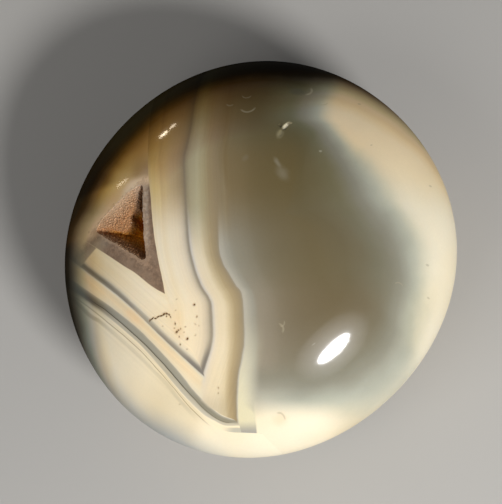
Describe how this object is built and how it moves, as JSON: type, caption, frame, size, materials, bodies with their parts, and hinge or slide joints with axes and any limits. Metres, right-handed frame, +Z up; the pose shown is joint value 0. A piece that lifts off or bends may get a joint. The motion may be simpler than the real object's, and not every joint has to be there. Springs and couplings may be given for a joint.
{
  "type": "orca agate palm stone",
  "caption": "Domed, polished palm stone of banded orca agate with a small crystal-lined hollow in its shoulder; rests on a flat foot.",
  "frame": {"origin": "middle of the outline's bounding box, on the surface that the stone rests on", "axes": "+Z up out of the dome, along the stone's shortest extent; the vug lies towards -X; +Y is away from a viewer who looks down with -X on the left"},
  "size_m": [0.06, 0.0618, 0.034],
  "materials": {
    "polished_agate": "polished, milky cream to smoky grey-brown, banded",
    "quartz_druse": "sparkling, iron-stained small quartz points"
  },
  "bodies": {
    "root": {"agate_stone": "polished_agate", "crystal_crust": "quartz_druse"}
  },
  "joints": []
}
